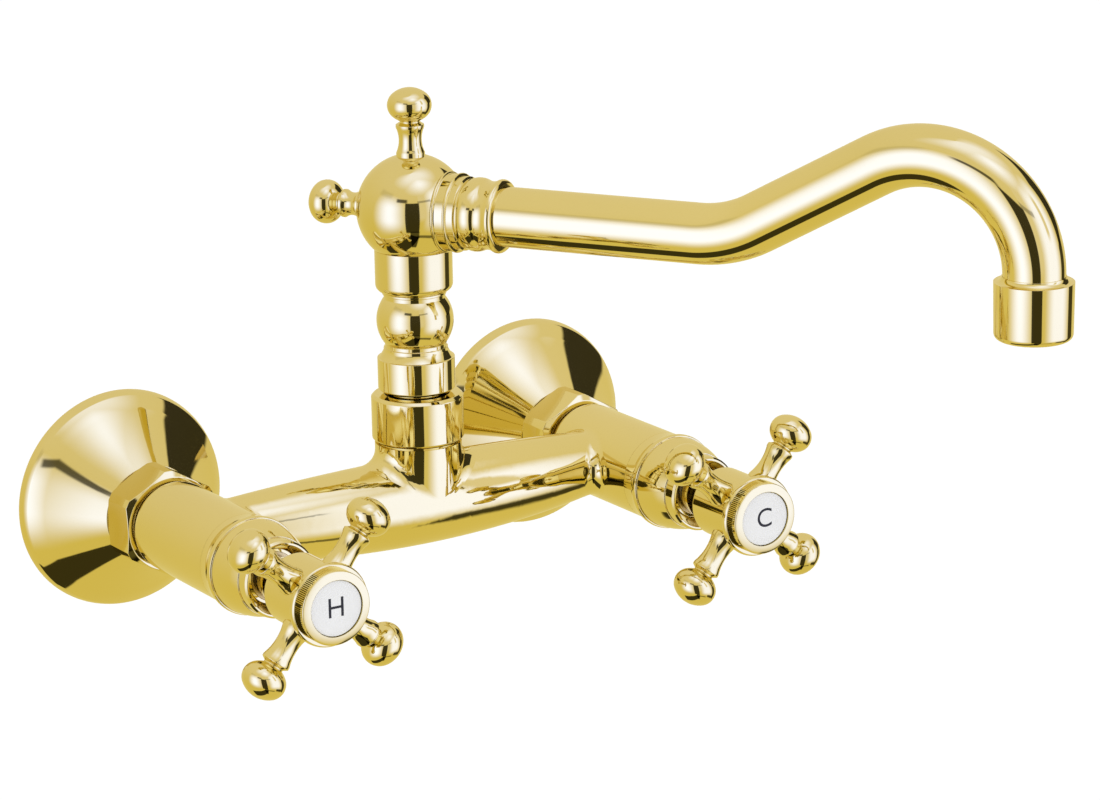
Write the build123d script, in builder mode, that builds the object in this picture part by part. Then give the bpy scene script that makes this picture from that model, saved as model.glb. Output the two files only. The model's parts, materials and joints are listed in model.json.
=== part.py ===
"""Wall-mounted two-handle mixer tap with a swivel spout.

Millimetres, +Z up, the wall is the plane y = 0 and the tap comes out of it toward -Y.
The origin lies midway between the two wall threads. A station is a distance out from the
wall along a valve axis.
"""

import os
from math import asin, atan2, cos, degrees, pi, radians, sin, sqrt

from build123d import *

os.makedirs("parts", exist_ok=True)

# Layout
inlet_spacing = 150.0  # centres of the two supplies
bar_station = 21.2  # rear end of a barrel to the middle of the cross bar
ball_height = 92.6  # valve axes up to the spout's straight run
spout_turn = 32.7  # spout as photographed, to the right of straight ahead
handle_turn = 49.8  # first arm of each cross, from +X
hex_sides = 6  # spanner hexes of the nuts, cartridges and screws
eccentric_offset = 6.0  # wall thread above the union nut's axis

# Clearances
fit_gap = 0.02  # between pieces that are screwed or pushed together
running_gap = 0.06  # radius to radius, where one piece turns in another
glide_gap = 0.05  # face to face, where one piece turns on another
nut_gap = 0.3  # union nut to the rosette and the inlet tail
barrel_gap = 1.0  # union nut to the barrel
hub_gap = 0.45  # circlip to the handle's tail
ring_nut_gap = 0.6  # boss shoulder to the ring nut
column_gap = 1.2  # ring nut to the column's lower ring
cover_gap = 0.4  # cartridge flange to the inside of the bonnet cover

# Threads
wall_thread_radius = 10.48  # G1/2
union_thread_radius = 13.22  # G3/4
cartridge_thread_radius = 10.4  # G1/2 of the valve cartridge

# Supplies
wall_thread_depth = 16.0
union_bend_start = 3.0
union_bend = 8.0
union_grip = 5.7  # union thread inside its nut
union_wall = 3.0
rosette_radius = 34.5
rosette_rim = 4.3
rosette_edge = 0.2  # upright edge at the wall
rosette_roll = 1.2  # rounded rim leans in by this
rosette_length = 22.0
rosette_neck = 2.5
rosette_neck_wall = 1.9
rosette_wall = 3.4  # at the rim
rosette_lip = 1.0
rosette_sag = 0.42
washer_thickness = 2.0
washer_margin = 1.0
tail_flange = 2.6
tail_radius = 10.0
tail_wall = 3.0
tail_thread = 6.0
nut_wall = 1.78  # at the middle of a flat
nut_web = 3.4
nut_chamfer = 1.3
nut_chamfer_depth = 0.3

# Body
barrel_wall = 3.7
barrel_length = 44.0
barrel_round = 2.0
bar_mid_radius = 13.8
bar_end_radius = 8.8
bar_bow = 6.0  # the bar's middle stands this far in front of its ends
bar_sections = 5
bar_bore = 5.0
bar_fillet = 4.0
boss_inset = 0.3  # bar's middle radius to the boss
boss_height = 19.4
boss_fillet = 6.0
boss_bore_step = 0.6  # the boss is bored this much smaller than the bar
boss_thread = 9.0
boss_thread_radius = 12.2
bore_taper = 1.0
seat_land = 1.5
seat_bore = 5.5
chamber_length = 19.5
chamber_relief = 0.1

# Cartridge
seal_length = 3.0
seal_proud = 1.0
disc_radius = 7.5
disc_thickness = 3.0
disc_window_inner = 1.6
disc_window_outer = 5.2
disc_window_length = 5.2
cage_wall = 1.34
window_length = 4.0
window_width = 7.5
drive_plate = 2.2
drive_peg_radius = 1.4
drive_peg_inset = 0.1
spindle_radius = 4.0
spindle_ring_section = 1.0
spindle_ring_first = 6.0
spindle_ring_pitch = 6.0
spindle_ring_groove = 2.0
cartridge_flange = 1.6
cartridge_flange_step = 1.2
cartridge_hex = 19.0
cartridge_hex_length = 3.4
gasket_thickness = 1.2
neck_radius = 7.4
neck_proud = 0.2
circlip_thickness = 0.9
circlip_reach = 1.6
circlip_groove = 0.9

# Bonnet cover
cover_flare = 0.8  # band's radius over the barrel's
cover_skirt = 5.6
cover_skirt_swell = 0.28  # skirt's radius over the barrel's, about half way
cover_band = 2.2
cover_band_crown = 0.25
cover_step = 0.4
cover_dome = 11.8
cover_dome_fall = 2.4
cover_dome_crown = 0.5
cover_shoulder_step = 0.3
cover_lip = 4.4
cover_lip_wall = 1.2
cover_lip_chamfer = 0.6
cover_web = 3.0
cover_wall = 2.0
dish_depth = 4.6
dish_land = 1.0

# Handle
hub_radius = 10.8
hub_length = 18.8
hub_round = 1.6
hub_tail = 11.2
hub_tail_wall = 2.4
hub_wall = 3.8
hub_web = 3.0
spindle_grip = 7.3  # spindle inside the hub's drum
arm_offset = 12.7  # start of the hub's drum to the arms
arm_length = 18.15  # hub's seat to the middle of an arm's ball
screw_radius = 2.0
screw_length = 12.0
screw_head_radius = 3.6
screw_head = 2.4
screw_socket = 1.6
bezel_spigot = 4.0
bezel_wall = 1.5
bezel_flange = 2.0
bezel_flange_step = 1.0
bezel_flange_round = 0.6
bezel_drum = 1.8
bezel_rim = 2.7
bezel_crown = 2.2
bezel_crown_fall = 0.7
bezel_lip = 0.5
bezel_lip_depth = 0.2
index_radius = 8.9
index_thickness = 1.9
index_sink = 0.5  # disc below the bezel's crown
index_round = 0.2

# Turned finials, shared by the handles and the ball
finial_stud_radius = 2.4
finial_stud = 2.3
finial_base_radius = 4.4
finial_base = 0.9
finial_waist_radius = 3.5
finial_lip_radius = 4.35
finial_lip = 0.8
finial_taper = 0.8
finial_neck_radius = 3.1
finial_neck = 0.4
finial_ball_radius = 6.8
finial_ball_half = 5.4
finial_side_radius = 4.6  # ball's rounding at its widest, flatter at its ends
top_finial_length = 15.7  # ball's seat to the middle of the finial's ball
rear_finial_length = 12.8

# Swivel
swivel_radius = 9.0
swivel_wall = 3.0
swivel_foot = 11.0
swivel_floor = 1.0  # socket's floor below the column's foot
swivel_lead = 1.0
column_ring_section = 2.0
column_ring_groove = 2.4
column_rings = (15.0, 21.0)
glide_thickness = 1.0
snap_thickness = 1.5
snap_gap = 0.7
snap_groove = 1.1
snap_slot = 3.0
ring_nut_wall = 2.05
ring_nut_web = 2.7
ring_nut_chamfer = 0.9
ring_nut_lip = 1.1  # swivel's radius to the hole in the ring nut

# Column
column_ring_radius = 11.95
column_ring = 10.3
column_ring_chamfer = 0.7
column_step = 0.5
column_shoulder = 2.5
column_shoulder_cove = 0.9
column_bead = 0.8
column_bead_step = 0.4
column_neck = 1.2
column_ball_radius = 11.9
column_ball_neck = 2.4  # middle ball's radius over the necks beside it
column_top_round = 2.4
column_thread_wall = 2.0
column_thread = 3.0

# Spout collar, from the tube's radius out to the ball's
tube_radius = 9.15
tube_wall = 1.0
collar_wall = 0.95
collar_socket = 14.0
collar_land = 2.15  # tube's radius over the collar's bore
collar_spigot_wall = 1.4
collar_spigot_gap = 0.48  # column's thread to the collar's spigot
collar_rim = 2.4
collar_rim_crown = 0.5
collar_step = 3.4
collar_step_bead = 1.2
collar_step_crown = 0.3
collar_step_rise = 0.9
collar_low = 2.4
collar_low_rise = 1.2
collar_groove = 0.6
collar_groove_rise = 0.4
collar_bead = 6.0
collar_bead_rise = 1.1
collar_neck = 1.4
collar_flare = 3.0
collar_flare_rise = 1.2
collar_flare_edge = 2.2
collar_flare_round = 0.35
collar_end_wall = 0.9
ball_swell = 4.9  # ball's radius over the collar's
ball_wall = 5.6

# Spout
spout_reach = 198.8  # column to the middle of the outlet
spout_step_bend = 39.6
spout_rise_angle = 28.65
spout_climb = 41.6
spout_arch = 32.6
spout_drop = 6.0

# Outlet
cup_wall = 2.55
cup_grip = 4.3  # cup above the tube's end
cup_round = 2.05
cup_taper = 0.2
cup_rim = 0.25
cup_cove = 1.6
cup_cove_land = 0.25
cup_web = 2.9
cup_web_step = 2.65
aerator_wall = 2.3  # aerator's radius inside the cup's
aerator_length = 7.5
aerator_recess = 0.8
aerator_screen = 1.2
aerator_rim = 1.2
aerator_hole = 0.9
aerator_step = 2.9
aerator_rows = 3
aerator_washer_thickness = 1.6
aerator_washer_width = 2.6

# Stations along a valve, worked out from the sizes above
nut_start = rosette_length + nut_gap
union_bend_end = union_bend_start + union_bend
union_end = nut_start + union_grip
washer_end = union_end + washer_thickness
tail_flange_end = washer_end + tail_flange
nut_end = tail_flange_end + fit_gap + nut_web
barrel_start = nut_end + barrel_gap
barrel_end = barrel_start + barrel_length
body_station = barrel_start + bar_station
tail_end = barrel_start + tail_thread
valve_seat = tail_end + bore_taper + seat_land
cage_start = valve_seat + seal_proud
fixed_disc_start = valve_seat + seal_length
moving_disc_start = fixed_disc_start + disc_thickness + glide_gap
window_start = moving_disc_start + disc_thickness
drive_start = window_start + window_length
cage_top = drive_start + drive_plate + glide_gap
chamber_end = valve_seat + chamber_length
flange_start = barrel_end + gasket_thickness
hex_start = flange_start + cartridge_flange
hex_end = hex_start + cartridge_hex_length
band_start = barrel_end + cover_skirt
dome_start = band_start + cover_band
cover_shoulder = dome_start + cover_dome
cover_end = cover_shoulder + cover_lip
dish_floor = cover_end - dish_depth
cover_web_start = dish_floor - cover_web
neck_end = dish_floor + neck_proud
circlip_start = neck_end + glide_gap
circlip_end = circlip_start + circlip_thickness
hub_tail_start = circlip_end + hub_gap
hub_start = hub_tail_start + hub_tail
hub_end = hub_start + hub_length
spindle_end = hub_start + spindle_grip
arm_station = hub_start + arm_offset
screw_seat = spindle_end + hub_web
flange_end = hub_end + bezel_flange
drum_end = flange_end + bezel_drum
index_station = drum_end + bezel_crown
disc_seat = index_station - index_sink - index_thickness
spindle_rings = (cage_top + spindle_ring_first, cage_top + spindle_ring_first + spindle_ring_pitch)

# Radii about a valve
union_bore = wall_thread_radius - union_wall
tail_bore = tail_radius - tail_wall
nut_flat_radius = union_thread_radius + nut_wall
nut_corner_radius = nut_flat_radius / cos(pi / hex_sides)
barrel_radius = cartridge_thread_radius + barrel_wall
chamber_radius = cartridge_thread_radius + chamber_relief
cage_bore = disc_radius + running_gap
cage_radius = cage_bore + cage_wall
drive_peg_reach = disc_radius - drive_peg_radius - drive_peg_inset
cartridge_flange_radius = cartridge_thread_radius + cartridge_flange_step
cover_bore = cartridge_flange_radius + cover_gap
cover_radius = barrel_radius + cover_flare
cover_dome_radius = cover_radius - cover_step
cover_shoulder_radius = cover_dome_radius - cover_dome_fall
cover_lip_radius = cover_shoulder_radius - cover_shoulder_step
dish_radius = cover_lip_radius - cover_lip_wall
hub_tail_radius = spindle_radius + hub_tail_wall
bezel_spigot_radius = hub_radius - hub_wall
bezel_bore = bezel_spigot_radius - bezel_wall
bezel_drum_radius = index_radius + bezel_rim
bezel_flange_radius = bezel_drum_radius + bezel_flange_step
arm_seat = sqrt(hub_radius**2 - (finial_base_radius + fit_gap) ** 2)

# Heights above the valve axes, along the column
boss_radius = bar_mid_radius - boss_inset
boss_bore = bar_bore - boss_bore_step
boss_top = boss_height + boss_thread
ring_nut_start = boss_height + ring_nut_gap
glide_end = boss_top + glide_thickness
snap_start = glide_end + glide_gap
snap_end = snap_start + snap_thickness
upper_glide_start = snap_end + glide_gap
upper_glide_end = upper_glide_start + glide_thickness
ring_nut_end = upper_glide_end + ring_nut_web
ring_nut_radius = boss_thread_radius + ring_nut_wall
ring_nut_bore = swivel_radius + ring_nut_lip
snap_radius = boss_thread_radius - snap_gap
snap_groove_radius = swivel_radius - snap_groove
swivel_bore = swivel_radius - swivel_wall
column_neck_radius = column_ball_radius - column_ball_neck
column_bead_radius = column_neck_radius + column_bead_step
column_thread_radius = swivel_bore + column_thread_wall
neck_to_ball = sqrt(column_ball_radius**2 - column_neck_radius**2)
column_ring_start = ring_nut_end + column_gap
column_ring_end = column_ring_start + column_ring
shoulder_top = column_ring_end + column_shoulder
lower_neck_start = shoulder_top + column_bead
column_ball_start = lower_neck_start + column_neck
column_ball_height = column_ball_start + neck_to_ball
column_ball_end = column_ball_height + neck_to_ball
upper_bead_start = column_ball_end + column_neck
column_top_ring_start = upper_bead_start + column_bead

# Reaches from the ball's centre, along the spout
collar_bore = tube_radius - collar_land
collar_spigot_radius = collar_bore + collar_spigot_wall
collar_neck_radius = tube_radius + collar_wall
collar_groove_radius = collar_neck_radius + collar_groove_rise
collar_bead_radius = collar_groove_radius + collar_bead_rise
collar_flare_radius = collar_neck_radius + collar_flare_rise
collar_low_radius = collar_neck_radius + collar_low_rise
collar_step_radius = collar_low_radius + collar_step_rise
ball_radius = collar_step_radius + ball_swell
ball_cavity_radius = ball_radius - ball_wall
ball_seat = ball_height - sqrt(ball_radius**2 - column_ring_radius**2)
finial_seat = sqrt(ball_radius**2 - finial_base_radius**2)
collar_seat = sqrt(ball_radius**2 - collar_step_radius**2)
collar_spigot_start = column_thread_radius + collar_spigot_gap
collar_step_start = collar_seat + collar_rim
collar_low_start = collar_step_start + collar_step
collar_bead_start = collar_low_start + collar_low
collar_neck_start = collar_bead_start + collar_bead
collar_flare_start = collar_neck_start + collar_neck
collar_edge_start = collar_flare_start + collar_flare
collar_end = collar_edge_start + collar_flare_edge
tube_start = collar_end - collar_socket

rise = radians(spout_rise_angle)
arch_start_reach = spout_reach - spout_arch - spout_arch * sin(rise)
arch_start_height = spout_step_bend * (1 - cos(rise)) + spout_climb * sin(rise)
spout_straight = arch_start_reach - spout_step_bend * sin(rise) - spout_climb * cos(rise)
arch_centre_height = arch_start_height - spout_arch * cos(rise)

# Heights at the outlet
tube_end = ball_height + arch_centre_height - spout_drop
cup_top = tube_end + cup_grip
washer_top = tube_end - cup_web
aerator_top = washer_top - aerator_washer_thickness
aerator_start = aerator_top - aerator_length
cup_bottom = aerator_start - aerator_recess
cup_radius = tube_radius + cup_wall
cup_foot = cup_radius - cup_taper
cup_web_bore = tube_radius - cup_web_step
aerator_radius = cup_radius - aerator_wall

# Working planes: the sketch's first direction is the radius or the reach
axis_height = -eccentric_offset
column_base = Vector(0, -body_station, axis_height)
ball_centre = column_base + Vector(0, 0, ball_height)
spout_way = Vector(sin(radians(spout_turn)), -cos(radians(spout_turn)), 0)
spout_side = Vector(-cos(radians(spout_turn)), -sin(radians(spout_turn)), 0)
column_plane = Plane(origin=column_base, x_dir=(1, 0, 0), z_dir=(0, -1, 0))
column_axis = Axis(column_base, (0, 0, 1))
spout_plane = Plane(origin=ball_centre, x_dir=spout_way, z_dir=spout_side)
spout_axis = Axis(ball_centre, spout_way)
outlet_centre = column_base + spout_way * spout_reach
outlet_plane = Plane(origin=outlet_centre, x_dir=(1, 0, 0), z_dir=(0, -1, 0))
outlet_axis = Axis(outlet_centre, (0, 0, 1))

sides = (("hot", -inlet_spacing / 2), ("cold", inlet_spacing / 2))


def valve_plane(x):
    return Plane(origin=(x, 0, axis_height), x_dir=(1, 0, 0), z_dir=(0, 0, -1))


def valve_axis(x):
    return Axis((x, 0, axis_height), (0, -1, 0))


def station_plane(x, station):
    return Plane(origin=(x, -station, axis_height), x_dir=(1, 0, 0), z_dir=(0, -1, 0))


def save(piece, name):
    piece.part.label = name
    export_step(piece.part, f"parts/{name}.step")


def tube_outline(inner, outer, start, end):
    Polyline((inner, start), (outer, start), (outer, end), (inner, end), close=True)


def bar_point(across):
    """Centre of the cross bar at a share of the way from its middle to a valve axis."""
    return column_base + Vector(across * inlet_spacing / 2, bar_bow * across**2, 0)


def bar_shares():
    return [2 * section / (bar_sections - 1) - 1 for section in range(bar_sections)]


def finial_outline(seat, length):
    """Half outline of a turned finial: first direction out along it, second its radius."""
    side_centre = finial_ball_radius - finial_side_radius
    flat = finial_ball_half - finial_side_radius
    end_centre = (side_centre**2 - flat**2) / (2 * flat)
    end_radius = finial_ball_half + end_centre
    meet_angle = degrees(atan2(side_centre, end_centre))
    neck_angle = degrees(asin(finial_neck_radius / end_radius))
    ball_reach = seat + length
    ball_start = ball_reach + end_centre - end_radius * cos(radians(neck_angle))
    neck_start = ball_start - finial_neck
    lip_end = neck_start - finial_taper
    lip_start = lip_end - finial_lip
    stud_end = seat - finial_stud
    cove = seat + finial_base
    Polyline(
        (stud_end, 0),
        (stud_end, finial_stud_radius),
        (seat, finial_stud_radius),
        (seat, finial_base_radius),
        (cove, finial_base_radius),
    )
    ThreePointArc(
        (cove, finial_base_radius),
        ((cove + lip_start) / 2, finial_waist_radius),
        (lip_start, finial_lip_radius),
    )
    Polyline(
        (lip_start, finial_lip_radius),
        (lip_end, finial_lip_radius),
        (neck_start, finial_neck_radius),
        (ball_start, finial_neck_radius),
    )
    CenterArc((ball_reach + end_centre, 0), end_radius, 180 - neck_angle, neck_angle - meet_angle)
    CenterArc((ball_reach, side_centre), finial_side_radius, 180 - meet_angle, 2 * meet_angle - 180)
    CenterArc((ball_reach - end_centre, 0), end_radius, meet_angle, -meet_angle)
    Line((ball_reach + finial_ball_half, 0), (stud_end, 0))


# Mixer body: barrels, spindle-shaped cross bar and boss, all bored for water
with BuildPart() as mixer_body:
    for across in bar_shares():
        with BuildSketch(Plane(origin=bar_point(across), x_dir=(0, 1, 0), z_dir=(1, 0, 0))):
            Circle(bar_mid_radius - (bar_mid_radius - bar_end_radius) * across**2)
    loft()
    with BuildSketch(Plane(origin=column_base)):
        Circle(boss_radius)
    extrude(amount=boss_height)
    boss_joint = mixer_body.edges(Select.LAST).filter_by(GeomType.BSPLINE)
    fillet(boss_joint, boss_fillet)
    for side, x in sides:
        with BuildSketch(station_plane(x, barrel_start)):
            Circle(barrel_radius)
        extrude(amount=barrel_length)
        barrel_joint = mixer_body.edges(Select.LAST).filter_by(GeomType.BSPLINE)
        fillet(barrel_joint, bar_fillet)
        barrel_rear = mixer_body.edges().filter_by(GeomType.CIRCLE)
        fillet(barrel_rear.group_by(Axis.Y)[-1].sort_by(Axis.X)[0 if x < 0 else -1], barrel_round)
    with BuildSketch(Plane(origin=column_base).offset(boss_height)):
        Circle(boss_thread_radius)
    extrude(amount=boss_thread)
    for side, x in sides:
        with BuildSketch(valve_plane(x)):
            with BuildLine():
                Polyline(
                    (0, barrel_start),
                    (tail_radius + fit_gap, barrel_start),
                    (tail_radius + fit_gap, tail_end),
                    (seat_bore, tail_end + bore_taper),
                    (seat_bore, valve_seat),
                    (cage_radius + fit_gap, valve_seat),
                    (cage_radius + fit_gap, fixed_disc_start),
                    (chamber_radius, fixed_disc_start + bore_taper),
                    (chamber_radius, chamber_end),
                    (cartridge_thread_radius + fit_gap, chamber_end),
                    (cartridge_thread_radius + fit_gap, barrel_end),
                    (0, barrel_end),
                    close=True,
                )
            make_face()
        revolve(axis=valve_axis(x), mode=Mode.SUBTRACT)
    for across in bar_shares():
        with BuildSketch(Plane(origin=bar_point(across), x_dir=(0, 1, 0), z_dir=(1, 0, 0))):
            Circle(bar_bore)
    loft(mode=Mode.SUBTRACT)
    with BuildSketch(column_plane):
        with BuildLine():
            Polyline(
                (0, 0),
                (boss_bore, 0),
                (boss_bore, swivel_foot - swivel_floor),
                (swivel_radius + running_gap, swivel_foot - swivel_floor),
                (swivel_radius + running_gap, boss_top),
                (0, boss_top),
                close=True,
            )
        make_face()
    revolve(axis=column_axis, mode=Mode.SUBTRACT)
save(mixer_body, "mixer_body")

# Supplies: what stands between the wall and each barrel
for side, x in sides:
    with BuildPart() as eccentric_union:
        wall_end = Plane(origin=(x, wall_thread_depth, 0), x_dir=(1, 0, 0), z_dir=(0, -1, 0))
        with BuildSketch(wall_end):
            Circle(wall_thread_radius)
        extrude(amount=wall_thread_depth + union_bend_start)
        with BuildSketch(wall_end.offset(wall_thread_depth + union_bend_start)):
            Circle(wall_thread_radius)
        with BuildSketch(station_plane(x, union_bend_end)):
            Circle(union_thread_radius)
        loft()
        with BuildSketch(station_plane(x, union_bend_end)):
            Circle(union_thread_radius)
        extrude(amount=union_end - union_bend_end)
        with BuildSketch(wall_end):
            Circle(union_bore)
        extrude(amount=wall_thread_depth + union_bend_start, mode=Mode.SUBTRACT)
        with BuildSketch(wall_end.offset(wall_thread_depth + union_bend_start)):
            Circle(union_bore)
        with BuildSketch(station_plane(x, union_bend_end)):
            Circle(union_bore)
        loft(mode=Mode.SUBTRACT)
        with BuildSketch(station_plane(x, union_bend_end)):
            Circle(union_bore)
        extrude(amount=union_end - union_bend_end, mode=Mode.SUBTRACT)
    save(eccentric_union, f"{side}_eccentric_union")

    with BuildPart() as rosette:
        cone_foot = rosette_radius - rosette_roll
        neck_bore = union_thread_radius + fit_gap
        neck_outer = neck_bore + rosette_neck_wall
        neck_foot = rosette_length - rosette_neck
        skirt = rosette_radius - rosette_wall
        skirt_top = rosette_rim - rosette_lip
        with BuildSketch(valve_plane(x)):
            with BuildLine():
                Line((rosette_radius, 0), (rosette_radius, rosette_edge))
                TangentArc((rosette_radius, rosette_edge), (cone_foot, rosette_rim), tangent=(0, 1))
                ThreePointArc(
                    (cone_foot, rosette_rim),
                    (
                        (cone_foot + neck_outer) / 2 - rosette_sag,
                        (rosette_rim + rosette_length) / 2 - rosette_sag,
                    ),
                    (neck_outer, rosette_length),
                )
                Polyline(
                    (neck_outer, rosette_length),
                    (neck_bore, rosette_length),
                    (neck_bore, neck_foot),
                )
                ThreePointArc(
                    (neck_bore, neck_foot),
                    (
                        (neck_bore + skirt) / 2 - rosette_sag,
                        (neck_foot + skirt_top) / 2 - rosette_sag,
                    ),
                    (skirt, skirt_top),
                )
                Polyline(
                    (skirt, skirt_top),
                    (skirt, 0),
                    (rosette_radius, 0),
                )
            make_face()
        revolve(axis=valve_axis(x))
    save(rosette, f"{side}_rosette")

    with BuildPart() as union_washer:
        with BuildSketch(valve_plane(x)):
            with BuildLine():
                tube_outline(union_bore, union_thread_radius - washer_margin, union_end, washer_end)
            make_face()
        revolve(axis=valve_axis(x))
    save(union_washer, f"{side}_union_washer")

    with BuildPart() as inlet_tail:
        with BuildSketch(valve_plane(x)):
            with BuildLine():
                Polyline(
                    (tail_bore, washer_end),
                    (union_thread_radius - fit_gap, washer_end),
                    (union_thread_radius - fit_gap, tail_flange_end),
                    (tail_radius, tail_flange_end),
                    (tail_radius, tail_end),
                    (tail_bore, tail_end),
                    close=True,
                )
            make_face()
        revolve(axis=valve_axis(x))
    save(inlet_tail, f"{side}_inlet_tail")

    with BuildPart() as union_nut:
        nut_face_radius = nut_flat_radius - nut_chamfer_depth
        with BuildSketch(station_plane(x, nut_start)):
            RegularPolygon(nut_flat_radius, hex_sides, major_radius=False, rotation=180 / hex_sides)
        extrude(amount=nut_end - nut_start)
        with BuildSketch(valve_plane(x)):
            with BuildLine():
                Polyline(
                    (nut_face_radius, nut_start),
                    (nut_corner_radius, nut_start + nut_chamfer),
                    (nut_corner_radius, nut_end - nut_chamfer),
                    (nut_face_radius, nut_end),
                    (0, nut_end),
                    (0, nut_start),
                    close=True,
                )
            make_face()
        revolve(axis=valve_axis(x), mode=Mode.INTERSECT)
        with BuildSketch(valve_plane(x)):
            with BuildLine():
                Polyline(
                    (0, nut_start),
                    (union_thread_radius + fit_gap, nut_start),
                    (union_thread_radius + fit_gap, nut_end - nut_web),
                    (tail_radius + nut_gap, nut_end - nut_web),
                    (tail_radius + nut_gap, nut_end),
                    (0, nut_end),
                    close=True,
                )
            make_face()
        revolve(axis=valve_axis(x), mode=Mode.SUBTRACT)
    save(union_nut, f"{side}_union_nut")

# Cartridges: the fixed half of each quarter-turn valve
for side, x in sides:
    with BuildPart() as seat_seal:
        with BuildSketch(valve_plane(x)):
            with BuildLine():
                tube_outline(seat_bore, disc_radius, valve_seat, fixed_disc_start)
            make_face()
        revolve(axis=valve_axis(x))
    save(seat_seal, f"{side}_seat_seal")

    with BuildPart() as fixed_disc:
        with BuildSketch(station_plane(x, fixed_disc_start)):
            Circle(disc_radius)
            with PolarLocations((disc_window_inner + disc_window_outer) / 2, 2):
                SlotOverall(
                    disc_window_length,
                    disc_window_outer - disc_window_inner,
                    rotation=90,
                    mode=Mode.SUBTRACT,
                )
        extrude(amount=disc_thickness)
    save(fixed_disc, f"{side}_fixed_ceramic_disc")

    with BuildPart() as cartridge_body:
        with BuildSketch(valve_plane(x)):
            with BuildLine():
                Polyline(
                    (cage_bore, cage_start),
                    (cage_radius, cage_start),
                    (cage_radius, chamber_end),
                    (cartridge_thread_radius, chamber_end),
                    (cartridge_thread_radius, flange_start),
                    (cartridge_flange_radius, flange_start),
                    (cartridge_flange_radius, hex_start),
                    (neck_radius, hex_start),
                    (neck_radius, neck_end),
                    (spindle_radius + running_gap, neck_end),
                    (spindle_radius + running_gap, cage_top),
                    (cage_bore, cage_top),
                    close=True,
                )
            make_face()
        revolve(axis=valve_axis(x))
        with BuildSketch(station_plane(x, hex_start)):
            RegularPolygon(cartridge_hex / 2, hex_sides, major_radius=False)
            Circle(spindle_radius + running_gap, mode=Mode.SUBTRACT)
        extrude(amount=cartridge_hex_length)
        window_middle = Vector(x, -(window_start + window_length / 2), axis_height)
        with BuildSketch(Plane(origin=window_middle, x_dir=(0, 1, 0), z_dir=(1, 0, 0))):
            Rectangle(window_length, window_width)
        extrude(amount=cage_radius, both=True, mode=Mode.SUBTRACT)
    save(cartridge_body, f"{side}_cartridge_body")

    with BuildPart() as cartridge_gasket:
        with BuildSketch(valve_plane(x)):
            with BuildLine():
                tube_outline(
                    cartridge_thread_radius + fit_gap,
                    cartridge_flange_radius,
                    barrel_end,
                    flange_start,
                )
            make_face()
        revolve(axis=valve_axis(x))
    save(cartridge_gasket, f"{side}_cartridge_gasket")

    with BuildPart() as bonnet_cover:
        with BuildSketch(valve_plane(x)):
            with BuildLine():
                ThreePointArc(
                    (barrel_radius, barrel_end),
                    (barrel_radius + cover_skirt_swell, (barrel_end + band_start) / 2),
                    (cover_radius, band_start),
                )
                ThreePointArc(
                    (cover_radius, band_start),
                    (cover_radius + cover_band_crown, (band_start + dome_start) / 2),
                    (cover_radius, dome_start),
                )
                Line((cover_radius, dome_start), (cover_dome_radius, dome_start))
                ThreePointArc(
                    (cover_dome_radius, dome_start),
                    (
                        (cover_dome_radius + cover_shoulder_radius) / 2 + cover_dome_crown,
                        (dome_start + cover_shoulder) / 2,
                    ),
                    (cover_shoulder_radius, cover_shoulder),
                )
                Polyline(
                    (cover_shoulder_radius, cover_shoulder),
                    (cover_lip_radius, cover_shoulder),
                    (cover_lip_radius, cover_end - cover_lip_chamfer),
                    (cover_lip_radius - cover_lip_chamfer, cover_end),
                    (dish_radius, cover_end),
                    (neck_radius + dish_land, dish_floor),
                    (neck_radius + fit_gap, dish_floor),
                    (neck_radius + fit_gap, cover_web_start),
                    (cover_shoulder_radius - cover_wall, cover_web_start),
                    (cover_bore, hex_end + cover_gap),
                    (cover_bore, barrel_end),
                    (barrel_radius, barrel_end),
                )
            make_face()
        revolve(axis=valve_axis(x))
    save(bonnet_cover, f"{side}_bonnet_cover")

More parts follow.
